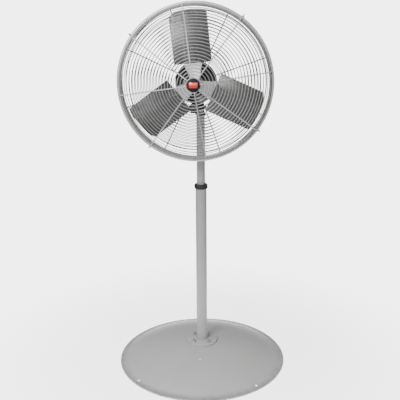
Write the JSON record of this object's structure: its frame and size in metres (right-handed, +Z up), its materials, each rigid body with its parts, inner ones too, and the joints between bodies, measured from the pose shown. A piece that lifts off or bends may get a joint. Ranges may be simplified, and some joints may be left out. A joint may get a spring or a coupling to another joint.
{
  "type": "pedestal fan",
  "caption": "Pedestal fan on a domed round steel base: telescopic column, tilting motor head, pitched metal blades inside a round wire guard.",
  "frame": {"origin": "on the floor, at the centre of the round base and on the column's axis", "axes": "+Z up along the column; the fan's axis is parallel to Y at rest and the air leaves along -Y; +X is to the right of someone who looks at the front of the fan"},
  "size_m": [0.795, 0.795, 1.65],
  "materials": {
    "grey_paint": "satin powder coat",
    "zinc": "zinc plated",
    "black_plastic": "moulded, matt",
    "black_paint": "semi-gloss enamel",
    "lamination_steel": "stacked laminations",
    "copper": "enamelled copper wire",
    "bearing_steel": "ground",
    "capacitor_can": "drawn can",
    "cast_aluminium": "as cast",
    "blade_aluminium": "mill finish sheet",
    "guard_grey": "grey powder coat on wire",
    "badge_red": "printed plate"
  },
  "bodies": {
    "base": {"base_plate": "grey_paint", "column_flange": "grey_paint", "flange_bolts": "zinc", "flange_washers": "zinc", "flange_nuts": "zinc", "lower_column": "grey_paint", "column_bushing": "black_plastic"},
    "collar": {"clamp_collar": "black_plastic"},
    "mast": {"upper_column": "grey_paint", "lower_guide": "black_plastic", "swivel_set_screw": "zinc"},
    "yoke": {"yoke": "black_paint", "tilt_bolt": "zinc", "tilt_nut": "zinc", "tilt_washers": "zinc"},
    "fan": {"rotor": "lamination_steel", "motor_shaft": "bearing_steel", "hub_spider": "cast_aluminium", "hub_set_screw": "zinc", "blade_1": "blade_aluminium", "blade_2": "blade_aluminium", "blade_3": "blade_aluminium", "blade_rivets": "zinc"},
    "knob": {"speed_knob": "black_plastic"},
    "head": {"motor_bracket": "black_paint", "bracket_screws": "zinc", "motor_shell": "black_paint", "front_bell": "black_paint", "rear_bell": "black_paint", "through_bolts": "zinc", "stator_core": "lamination_steel", "stator_windings": "copper", "front_bearing": "bearing_steel", "rear_bearing": "bearing_steel", "guard_plate": "black_paint", "guard_plate_screws": "zinc", "switch_box": "black_paint", "switch_box_cover": "black_paint", "cover_screws": "zinc", "capacitor": "capacitor_can", "speed_switch": "black_plastic", "cord_gland": "black_plastic", "rear_guard_rings": "guard_grey", "rear_guard_spokes": "guard_grey", "rim_band": "guard_grey", "rim_clamps": "guard_grey", "clamp_screws": "zinc", "clamp_nuts": "zinc", "front_guard_rings": "guard_grey", "front_guard_spokes": "guard_grey", "centre_plate": "guard_grey", "badge_disc": "black_plastic", "badge_plate": "badge_red"}
  },
  "joints": [
    {"name": "height_slide", "type": "slide", "parent": "base", "child": "mast", "axis": [0, 0, 1], "range_m": [-0.25, 0.25]},
    {"name": "collar_turn", "type": "hinge", "parent": "base", "child": "collar", "pos_m": [0, 0, 0.857], "axis": [0, 0, 1], "range_deg": [0, 90]},
    {"name": "head_swivel", "type": "hinge", "parent": "mast", "child": "yoke", "pos_m": [0, 0, 1.18], "axis": [0, 0, 1], "range_deg": [-180, 180]},
    {"name": "head_tilt", "type": "hinge", "parent": "yoke", "child": "head", "pos_m": [-0.014, 0, 1.212], "axis": [-1, 0, 0], "range_deg": [-15, 35]},
    {"name": "fan_spin", "type": "hinge", "parent": "head", "child": "fan", "pos_m": [-0.014, -0.132, 1.325], "axis": [0, -1, 0], "continuous": true},
    {"name": "speed_knob_turn", "type": "hinge", "parent": "head", "child": "knob", "pos_m": [0.004, 0.132, 1.325], "axis": [0, 1, 0], "range_deg": [0, 135]}
  ]
}
